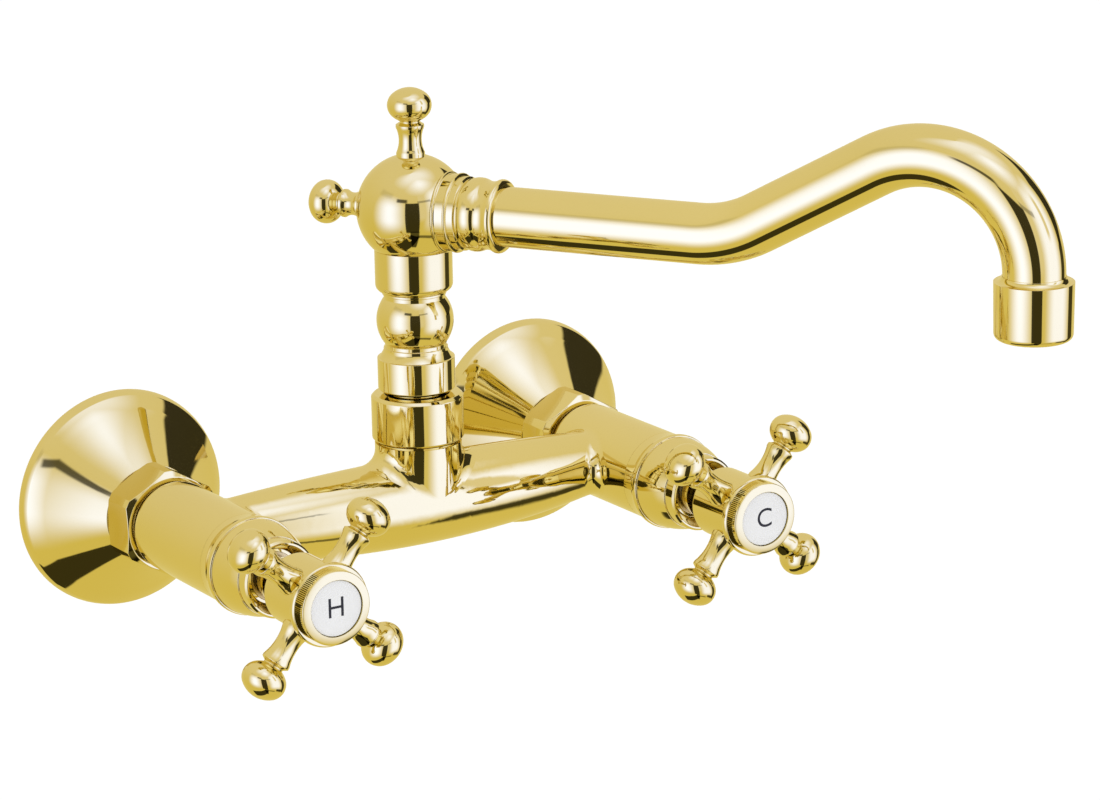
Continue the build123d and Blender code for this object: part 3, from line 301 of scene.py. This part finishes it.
def finialOutline(seat, length):  # length is from the seat to the middle of the ball
    f = finial
    sideCentre, flat = f["ballRadius"] - f["sideRadius"], f["ballHalf"] - f["sideRadius"]
    endCentre = (sideCentre ** 2 - flat ** 2) / (2 * flat)  # the ends run smoothly into the side
    endRadius = f["ballHalf"] + endCentre
    meet, neckTurn = atan2(sideCentre, endCentre), asin(f["neckRadius"] / endRadius)
    middle = seat + length
    ballStart = middle + endCentre - endRadius * cos(neckTurn)
    lipEnd = ballStart - f["neck"] - f["taper"]
    lipStart, cove = lipEnd - f["lip"], seat + f["foot"]
    back, front = middle + endCentre, middle - endCentre
    joinRadius, join = endRadius * sin(meet), endRadius * cos(meet) - endCentre
    rear = (meet + neckTurn) / 2
    return [
        (0, seat - f["sink"]), (f["footRadius"], seat - f["sink"]), (f["footRadius"], cove),
        (f["waistRadius"], (cove + lipStart) / 2, f["lipRadius"], lipStart), (f["lipRadius"], lipEnd),
        (f["neckRadius"], lipEnd + f["taper"]), (f["neckRadius"], ballStart),
        (endRadius * sin(rear), back - endRadius * cos(rear), joinRadius, middle - join),
        (f["ballRadius"], middle, joinRadius, middle + join),
        (endRadius * sin(meet / 2), front + endRadius * cos(meet / 2), 0, middle + f["ballHalf"]),
    ]


# Handle hubs
hub = {
    "outline": [
        (4.02, 102.02), (6.4, 102.02), (9.2, 113.22), (10.331, 113.689, 10.8, 114.82), (10.8, 132.02),
        (7.02, 132.02), (7.02, 123.52), (4.02, 123.52),
    ],
    "steps": 112, "edge": 0.15,
}

# Arms: four finials lying in a cross on the hub
arms = {"count": 4, "firstTurn": 49.8, "station": 125.92, "seat": 9.854, "length": 18.15}


def armCross():
    cross = bmesh.new()
    forward = Matrix.Translation((0, 0, arms["station"] * mm))
    for arm in range(arms["count"]):
        one = turned(finialOutline(arms["seat"], arms["length"]), finial["steps"])
        turn = Matrix.Rotation(radians(arms["firstTurn"] + 360 / arms["count"] * arm), 4, "Z")
        bmesh.ops.transform(one, matrix=forward @ turn @ lieDown, verts=one.verts[:])
        mesh = bpy.data.meshes.new("arm")
        one.to_mesh(mesh)
        one.free()
        cross.from_mesh(mesh)
        bpy.data.meshes.remove(mesh)
    return cross


# Bezels: a flange, a groove for the knurl and a low crown round the disc
bezel = {
    "outline": [
        (5.5, 128.02), (7.0, 128.02), (7.0, 132.02), (12.0, 132.02), (12.6, 133.1, 12.3, 134.4),
        (12.1, 134.6), (10.75, 134.6), (10.75, 137.1), (11.05, 137.1), (11.1, 137.35),
        (11.04, 137.58, 10.85, 137.72), (9.68, 137.91, 8.5, 138.02), (8.5, 135.62), (5.5, 135.62),
    ],
    "steps": 112, "edge": 0.1,
}

# Knurl: a ring in the bezel's groove with every second line of its rim pressed inward
knurl = {"bore": 9.8, "radius": 11.1, "depth": 0.14, "teeth": 120, "start": 134.62, "length": 2.5}


def knurlRing():
    bore, radius, depth, teeth = (knurl[word] for word in ("bore", "radius", "depth", "teeth"))
    back, front = knurl["start"], knurl["start"] + knurl["length"]
    bm = turned([(bore, back), (radius, back), (radius, front), (bore, front)], 2 * teeth)
    rim = [v for v in bm.verts if v.co.xy.length > (radius - depth) * mm]
    grooves = [v for v in rim if round(atan2(v.co.y, v.co.x) * teeth / pi) % 2]
    inward = 1 - depth / radius
    bmesh.ops.scale(bm, vec=(inward, inward, 1), verts=grooves)
    return bm


# Porcelain discs and their fired marks
disc = {
    "outline": [(0, 135.62), (8.35, 135.62), (8.35, 137.32), (8.29, 137.46, 8.15, 137.52), (0, 137.52)],
    "steps": 96,
}
mark = {
    "letters": {"hot": "H", "cold": "C"}, "height": 8.5, "station": 137.51, "depth": 0.04,
    "colour": (0.035, 0.035, 0.04), "roughness": (0.35, 0.5),
}
firedMark = finish("firedMark", mark["colour"], 0.0, mark["roughness"], glazeLook)


def markLetter(letter):
    text = bpy.data.curves.new("mark", "FONT")
    text.body = letter
    text.size = mark["height"] * mm
    text.align_x = "CENTER"
    text.align_y = "CENTER"
    text.extrude = mark["depth"] * mm
    holder = bpy.data.objects.new("mark", text)
    mesh = bpy.data.meshes.new_from_object(holder)
    bm = bmesh.new()
    bm.from_mesh(mesh)
    bpy.data.objects.remove(holder)
    bpy.data.curves.remove(text)
    bpy.data.meshes.remove(mesh)
    weld(bm)
    bmesh.ops.translate(bm, vec=(0, 0, mark["station"] * mm), verts=bm.verts[:])
    return bm


for side in sides:
    body, place = side + "_handle", valvePlace(side)
    piece(
        side + "HubTurned", turned(hub["outline"], hub["steps"]), place,
        body, "polished_gold", (side + "_handle_hub",), hub["edge"],
    )
    piece(
        side + "ArmsTurned", armCross(), place,
        body, "polished_gold", (side + "_handle_arms",), finial["edge"],
    )
    piece(
        side + "BezelTurned", turned(bezel["outline"], bezel["steps"]), place,
        body, "polished_gold", (side + "_index_bezel",), bezel["edge"],
    )
    knurled = piece(side + "BezelKnurl", knurlRing(), place, body, "polished_gold")
    knurled.data.shade_flat()
    piece(
        side + "DiscGlazed", turned(disc["outline"], disc["steps"], closed=False), place,
        body, "porcelain", (side + "_index_disc",),
    )
    letter = piece(side + "DiscMark", markLetter(mark["letters"][side]), place, body, "porcelain")
    letter.data.materials[0] = firedMark
    letter.data.shade_flat()
print("handles turned")

# Ring nut on the body's boss
ringNut = {
    "outline": [
        (12.22, 20.0), (13.35, 20.0), (14.25, 20.9), (14.25, 33.8), (13.35, 34.7), (10.1, 34.7),
        (10.1, 32.0), (12.22, 32.0),
    ],
    "steps": 128, "edge": 0.2,
}
piece(
    "ringNutTurned", turned(ringNut["outline"], ringNut["steps"]), columnPlace,
    "tap_body", "polished_gold", ("swivel_ring_nut",), ringNut["edge"],
)

# Swivel column: two collars with a bead between them
column = {
    "outline": [
        (6.0, 11.0), (9.0, 11.0), (9.0, 35.9), (11.25, 35.9), (11.95, 36.6), (11.95, 46.2), (11.45, 46.2),
        (10.4, 47.7, 9.9, 48.7), (9.9, 49.5), (9.5, 49.5), (9.5, 50.7), (11.9, 57.867, 9.5, 65.033),
        (9.5, 66.233), (9.9, 66.233), (9.9, 67.033), (11.23, 67.753, 11.95, 69.433), (11.95, 80.369),
        (8.0, 80.369), (8.0, 83.3), (6.0, 83.3),
    ],
    "steps": 128, "edge": 0.15,
}
piece(
    "columnTurned", turned(column["outline"], column["steps"]), columnPlace,
    "spout", "polished_gold", ("swivel_column",), column["edge"],
)

# Ball with a flat for the column, the collar and each finial
ball = {
    "radius": 17.1, "rounds": 128, "rings": 96, "edge": 0.08,
    "columnSeat": 12.231, "collarSeat": 11.982, "finialSeat": 16.524,
    "finials": {"top": 15.7, "rear": 12.8},  # from the seat to the middle of the finial's own ball
}
ballMesh = bmesh.new()
bmesh.ops.create_uvsphere(
    ballMesh, u_segments=ball["rounds"], v_segments=ball["rings"], radius=ball["radius"] * mm
)
sliceOff(ballMesh, Vector((0, 0, -1)), ball["columnSeat"])
sliceOff(ballMesh, Vector((1, 0, 0)), ball["collarSeat"])
sliceOff(ballMesh, Vector((0, 0, 1)), ball["finialSeat"])
sliceOff(ballMesh, Vector((-1, 0, 0)), ball["finialSeat"])
weld(ballMesh)
piece("ballPolished", ballMesh, spoutPlace, "spout", "polished_gold", ("spout_ball",), ball["edge"])
for end, place in (("top", spoutPlace), ("rear", spoutPlace @ lieBack)):
    outline = finialOutline(ball["finialSeat"], ball["finials"][end])
    piece(
        end + "FinialTurned", turned(outline, finial["steps"]), place,
        "spout", "polished_gold", (end + "_finial",), finial["edge"],
    )
print("column and ball turned")

# Spout collar
collar = {
    "outline": [
        (7.0, 8.48), (8.4, 8.48), (8.4, 11.982), (12.0, 11.982), (12.45, 12.432, 12.0, 12.882),
        (11.8, 13.182), (11.8, 15.882), (12.0, 15.882), (12.2, 16.282, 12.0, 16.682), (11.3, 16.882),
        (11.3, 18.982), (10.6, 19.382), (10.6, 19.882), (11.3, 22.582, 10.6, 25.282),
        (10.48, 27.582, 11.15, 29.482), (11.2, 30.482, 10.7, 31.132), (10.05, 31.382), (9.17, 31.382),
        (9.17, 18.782), (7.0, 18.782),
    ],
    "steps": 112, "edge": 0.12,
}
piece(
    "collarTurned", turned(collar["outline"], collar["steps"]), spoutPlace @ lieDown,
    "spout", "polished_gold", ("spout_collar",), collar["edge"],
)

# Spout tube: a straight run, a step up, a climb and an arch down to the outlet
tube = {
    "radius": 9.15, "rounds": 96, "edge": 0.1,
    "start": 18.782, "straight": 95.076,  # from the ball's centre
    "stepBend": 39.6, "riseAngle": 28.65, "stepSteps": 20,
    "climb": 41.6,
    "arch": 32.6, "archSteps": 72,
    "drop": 6.0,
}


def runOn(bm, ring, way):
    made = bmesh.ops.extrude_edge_only(bm, edges=ring)["geom"]
    bmesh.ops.translate(bm, vec=Vector(way) * mm, verts=vertsOf(made))
    return [e for e in edgesOf(made) if e.is_boundary]


def bendOn(bm, ring, centre, angle, steps):
    spun = bmesh.ops.spin(
        bm, geom=ring, cent=Vector(centre) * mm, axis=(0, 1, 0), angle=angle, steps=steps
    )
    return edgesOf(spun["geom_last"])


tubeMesh = bmesh.new()
bmesh.ops.create_circle(tubeMesh, segments=tube["rounds"], radius=tube["radius"] * mm)
tubeStart = Matrix.Translation((tube["start"] * mm, 0, 0)) @ lieDown
bmesh.ops.transform(tubeMesh, matrix=tubeStart, verts=tubeMesh.verts[:])
firstRing = tubeMesh.edges[:]
rise = radians(tube["riseAngle"])
ring = runOn(tubeMesh, firstRing, (tube["straight"] - tube["start"], 0, 0))
ring = bendOn(tubeMesh, ring, (tube["straight"], 0, tube["stepBend"]), -rise, tube["stepSteps"])
ring = runOn(tubeMesh, ring, (tube["climb"] * cos(rise), 0, tube["climb"] * sin(rise)))
archStart = Vector((
    tube["straight"] + tube["stepBend"] * sin(rise) + tube["climb"] * cos(rise),
    0,
    tube["stepBend"] * (1 - cos(rise)) + tube["climb"] * sin(rise),
))
archCentre = archStart + Vector((sin(rise), 0, -cos(rise))) * tube["arch"]
ring = bendOn(tubeMesh, ring, archCentre, pi / 2 + rise, tube["archSteps"])
ring = runOn(tubeMesh, ring, (0, 0, -tube["drop"]))
bmesh.ops.contextual_create(tubeMesh, geom=firstRing)
bmesh.ops.contextual_create(tubeMesh, geom=ring)
weld(tubeMesh)
piece("tubeBent", tubeMesh, spoutPlace, "spout", "polished_gold", ("spout_tube",), tube["edge"])

# Outlet cup round the aerator
cup = {
    "outline": [
        (9.42, 69.985), (9.45, 69.985), (10.9, 70.585, 11.5, 72.035), (11.7, 87.085), (11.45, 87.085),
        (10.13, 87.49, 9.4, 88.685), (9.17, 88.685), (9.17, 82.785), (6.5, 82.785), (6.5, 79.885),
        (9.42, 79.885),
    ],
    "reach": 198.8,  # from the column's axis
    "steps": 112, "edge": 0.15,
}
outletPlace = spoutPlace @ Matrix.Translation((cup["reach"] * mm, 0, -layout["ballHeight"] * mm))
piece(
    "cupTurned", turned(cup["outline"], cup["steps"]), outletPlace,
    "spout", "polished_gold", ("outlet_cup",), cup["edge"],
)
print("spout bent")

# Stage: a pale floor that the metal doesn't mirror
stage = {
    "floorDrop": 1.1, "floorSize": 40.0,  # metres
    "paper": {"Base Color": (0.96, 0.96, 0.96, 1), "Roughness": 0.9, "Specular IOR Level": 0.0},
}
floorMesh = bpy.data.meshes.new("floor")
bm = bmesh.new()
bmesh.ops.create_grid(bm, x_segments=1, y_segments=1, size=stage["floorSize"] / 2)
bmesh.ops.translate(bm, vec=(0, 0, -stage["floorDrop"]), verts=bm.verts[:])
bm.to_mesh(floorMesh)
bm.free()
floor = bpy.data.objects.new("floor", floorMesh)
bpy.context.scene.collection.objects.link(floor)
paper = bpy.data.materials.new("palePaper")
paper.use_nodes = True
for socket, value in stage["paper"].items():
    paper.node_tree.nodes["Principled BSDF"].inputs[socket].default_value = value
floorMesh.materials.append(paper)
floor.visible_glossy = False

# Camera at the photo's viewing angle
photo = {
    "place": (-0.62495, -1.12892, 0.36555), "yaw": 32.166, "pitch": 15.355, "roll": -1.048,
    "lens": 136.12, "sensor": 36.0, "nearest": 0.05,
}
camera = bpy.data.cameras.new("photoCamera")
camera.lens = photo["lens"]
camera.sensor_width = photo["sensor"]
camera.clip_start = photo["nearest"]
cameraObject = bpy.data.objects.new("photoCamera", camera)
bpy.context.scene.collection.objects.link(cameraObject)
cameraObject.matrix_world = (
    Matrix.Translation(photo["place"]) @ Matrix.Rotation(radians(-photo["yaw"]), 4, "Z")
    @ Matrix.Rotation(radians(90 - photo["pitch"]), 4, "X") @ Matrix.Rotation(radians(photo["roll"]), 4, "Z")
)
bpy.context.scene.camera = cameraObject
bpy.context.scene.view_settings.view_transform = "Standard"

# Studio: even daylight, and what the polished metal mirrors. Soft boxes go to white and dark cards dim.
# Each is from, to and softness across, then from, to and softness up, then its share.
# Across and up are degrees of bearing, 0 towards the camera and + to the photo's right, and of height.
studio = {
    "daylight": 1.07,
    "surroundInGold": (0.79, 0.685, 0.285),  # warm walls of the studio
    "whiteInGold": (1.33, 1.55, 3.94),  # light that looks white in the plating
    "boxes": [
        (-69, -24, 44, -28, 26, 34, 0.95),
        (38, 98, 36, -28, 44, 26, 0.8),
        (-4, 70, 90, 48, 76, 42, 1.0),
        (-66, 137, 100, 58, 120, 40, 0.6),
        (-240, 240, 10, 12, 142, 100, 0.12),
        (15, 63, 2, -13, 63, 16, 0.15),
    ],
    "gaps": [  # warm wall that shows between the boxes
        (68, 79, 5, 11, 36, 8, 0.8),
    ],
    "cards": [
        (-13, 17, 2, -38, 23, 2, 0.94),
        (-4, 18, 4, -74, -36, 3, 0.88),
        (14, 44, 3, 23, 27, 2, 0.5),
        (-33, -9, 6, 23.5, 30.5, 3, 0.85),
        (-80, -46, 10, 28, 38, 6, 0.15),
        (14, 62, 4, -50, -44, 3, 0.75),
        (70, 109, 5, -45, -33, 7, 0.92),
        (112, 147, 2, -1, 33, 3, 0.95),
        (108, 131, 3, -42, 1, 3, 0.92),
    ],
    "boards": [  # dark too, on the floor: steps along and towards the wall for each step down
        (-0.64, -0.19, 0.03, -0.9, 0.6, 0.06, 0.94),
    ],
    "leastDown": 0.001,  # keeps those steps finite above the floor
}
mixSockets = {"share": 0, "first": 6, "second": 7, "colour": 2}  # of a Mix node for colours
world = bpy.data.worlds.new("studioSurround")
bpy.context.scene.world = world
world.use_nodes = True
tree = world.node_tree
tree.nodes.clear()


def calc(kind, *inputs):
    node = tree.nodes.new("ShaderNodeMath")
    node.operation = kind
    for slot, value in enumerate(inputs):
        if isinstance(value, (int, float)):
            node.inputs[slot].default_value = value
        else:
            tree.links.new(value, node.inputs[slot])
    return node.outputs[0]


def fade(value, low, high):
    node = tree.nodes.new("ShaderNodeMapRange")
    node.interpolation_type = "SMOOTHSTEP"
    node.inputs["From Min"].default_value = low
    node.inputs["From Max"].default_value = high
    tree.links.new(value, node.inputs["Value"])
    return node.outputs["Result"]


def between(value, low, high, soft):
    rising = fade(value, low - soft / 2, low + soft / 2)
    falling = fade(value, high + soft / 2, high - soft / 2)
    return calc("MULTIPLY", rising, falling)


def window(across, up, shape):
    left, right, softAcross, low, top, softUp, share = shape
    inside = calc("MULTIPLY", between(across, left, right, softAcross), between(up, low, top, softUp))
    return calc("MULTIPLY", inside, share)


def lessen(value, share):
    return calc("MULTIPLY", calc("SUBTRACT", 1.0, share), value)


def blend(share, first, second):
    node = tree.nodes.new("ShaderNodeMix")
    node.data_type = "RGBA"
    tree.links.new(share, node.inputs[mixSockets["share"]])
    for word, value in (("first", first), ("second", second)):
        socket = node.inputs[mixSockets[word]]
        if isinstance(value, tuple):
            socket.default_value = (*value, 1)
        else:
            tree.links.new(value, socket)
    return node.outputs[mixSockets["colour"]]


look = tree.nodes.new("ShaderNodeTexCoord")
turnWay = tree.nodes.new("ShaderNodeVectorRotate")
turnWay.rotation_type = "Z_AXIS"
turnWay.inputs["Angle"].default_value = radians(90 + photo["yaw"])
tree.links.new(look.outputs["Generated"], turnWay.inputs["Vector"])
facing = tree.nodes.new("ShaderNodeSeparateXYZ")
tree.links.new(turnWay.outputs["Vector"], facing.inputs["Vector"])
bearing = calc("DEGREES", calc("ARCTAN2", facing.outputs["Y"], facing.outputs["X"]))
height = calc("DEGREES", calc("ARCSINE", facing.outputs["Z"]))
straight = tree.nodes.new("ShaderNodeSeparateXYZ")
tree.links.new(look.outputs["Generated"], straight.inputs["Vector"])
down = calc("MAXIMUM", calc("MULTIPLY", straight.outputs["Z"], -1.0), studio["leastDown"])
along = calc("DIVIDE", straight.outputs["X"], down)
inward = calc("DIVIDE", straight.outputs["Y"], down)

white = 0.0
for box in studio["boxes"]:
    white = calc("MAXIMUM", window(bearing, height, box), white)
for gap in studio["gaps"]:
    white = lessen(white, window(bearing, height, gap))
light = 1.0
for card in studio["cards"]:
    light = lessen(light, window(bearing, height, card))
for board in studio["boards"]:
    light = lessen(light, window(along, inward, board))

# Only glossy rays see the boxes and cards
rays = tree.nodes.new("ShaderNodeLightPath")
plain = calc("SUBTRACT", 1.0, rays.outputs["Is Glossy Ray"])
mirrored = blend(white, studio["surroundInGold"], studio["whiteInGold"])
background = tree.nodes.new("ShaderNodeBackground")
tree.links.new(blend(plain, mirrored, (studio["daylight"],) * 3), background.inputs["Color"])
tree.links.new(calc("MAXIMUM", light, plain), background.inputs["Strength"])
output = tree.nodes.new("ShaderNodeOutputWorld")
tree.links.new(background.outputs["Background"], output.inputs["Surface"])
print("stage set")
